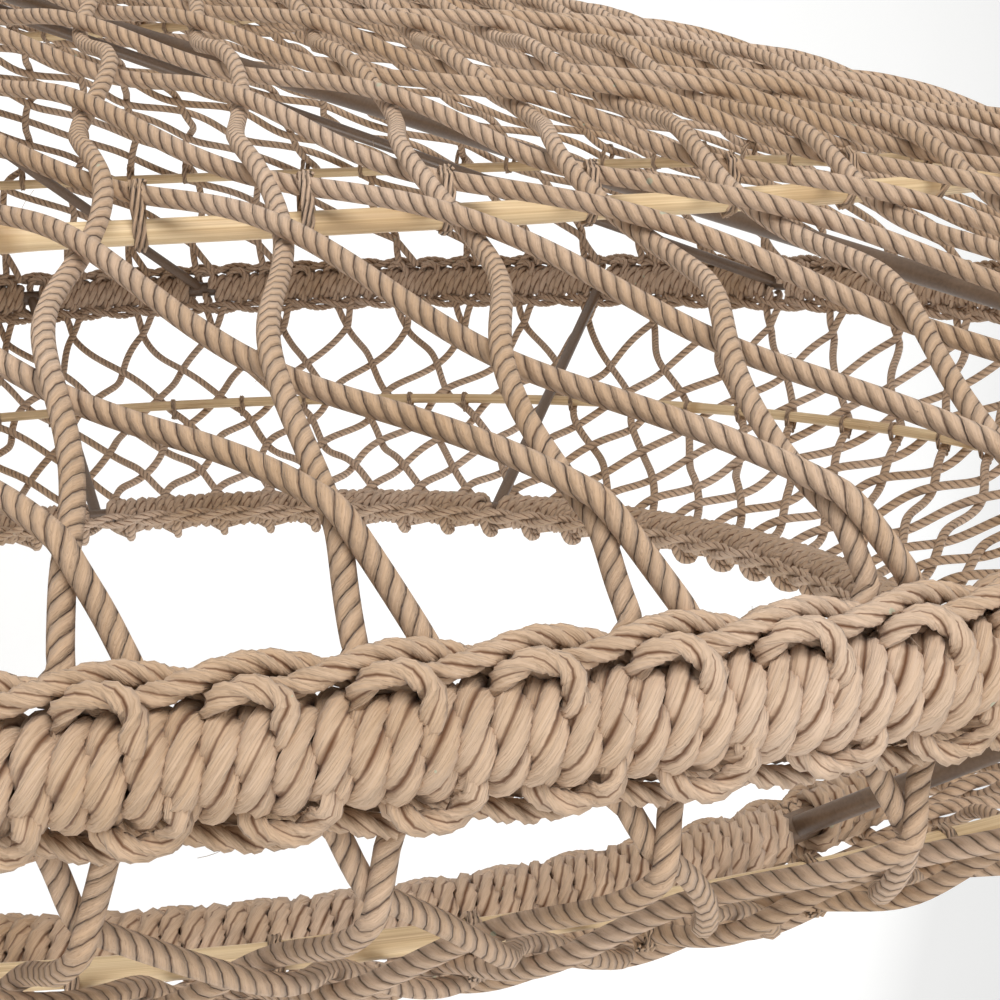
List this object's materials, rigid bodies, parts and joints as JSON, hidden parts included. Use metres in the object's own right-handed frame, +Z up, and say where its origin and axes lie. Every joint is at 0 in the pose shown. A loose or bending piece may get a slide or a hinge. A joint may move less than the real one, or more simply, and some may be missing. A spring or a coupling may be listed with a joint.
{
  "type": "hanging egg chair",
  "caption": "Hanging seat: an egg-shaped steel hoop wound with twisted paper cord, between a deep back net and a shallow front net with a round mouth, on a swivel hanger.",
  "frame": {"origin": "centre of the hanging eye's bore", "axes": "+Z up, the chair's mouth faces -Y and its back +Y, +X to the right of one who looks at the mouth; the eye's bore runs along Y"},
  "size_m": [1.101, 0.3877, 1.3777],
  "materials": {
    "frame_steel": "brown lacquer, satin",
    "zinc_steel": "zinc plated, dull",
    "bronze": "plain bearing bronze",
    "wrap_cord": "twisted kraft paper cord, matte",
    "net_cord": "twisted kraft paper cord, matte",
    "rattan": "bare pale rattan"
  },
  "bodies": {
    "eye": {"swivel_eye": "zinc_steel", "thrust_washer": "bronze", "swivel_nut": "zinc_steel"},
    "stirrup": {"swivel_stirrup": "frame_steel", "stirrup_bolt": "zinc_steel", "stirrup_bolt_nut": "zinc_steel"},
    "link": {"hanger_link": "frame_steel", "upper_bush": "bronze", "lower_bush": "bronze"},
    "chair": {"hoop_bracket": "frame_steel", "bracket_bolt": "zinc_steel", "bracket_bolt_nut": "zinc_steel", "main_hoop": "frame_steel", "main_hoop_wrap": "wrap_cord", "back_border": "wrap_cord", "front_border": "wrap_cord", "back_ribs": "frame_steel", "back_ring": "frame_steel", "back_ring_wrap": "wrap_cord", "front_stays": "frame_steel", "mouth_hoop": "frame_steel", "mouth_hoop_wrap": "wrap_cord", "mouth_border": "wrap_cord", "rattan_hoop_back": "rattan", "rattan_hoop_middle": "rattan", "rattan_hoop_front": "rattan", "back_net": "net_cord", "front_net": "net_cord"}
  },
  "joints": [
    {"name": "swivel", "type": "hinge", "parent": "eye", "child": "stirrup", "pos_m": [0, 0, -0.0463], "axis": [0, 0, 1], "continuous": true},
    {"name": "side_swing", "type": "hinge", "parent": "stirrup", "child": "link", "pos_m": [0, 0, -0.1003], "axis": [0, 1, 0], "range_deg": [-25, 25]},
    {"name": "fore_aft_swing", "type": "hinge", "parent": "link", "child": "chair", "pos_m": [0, 0, -0.1503], "axis": [1, 0, 0], "range_deg": [-25, 25]}
  ]
}
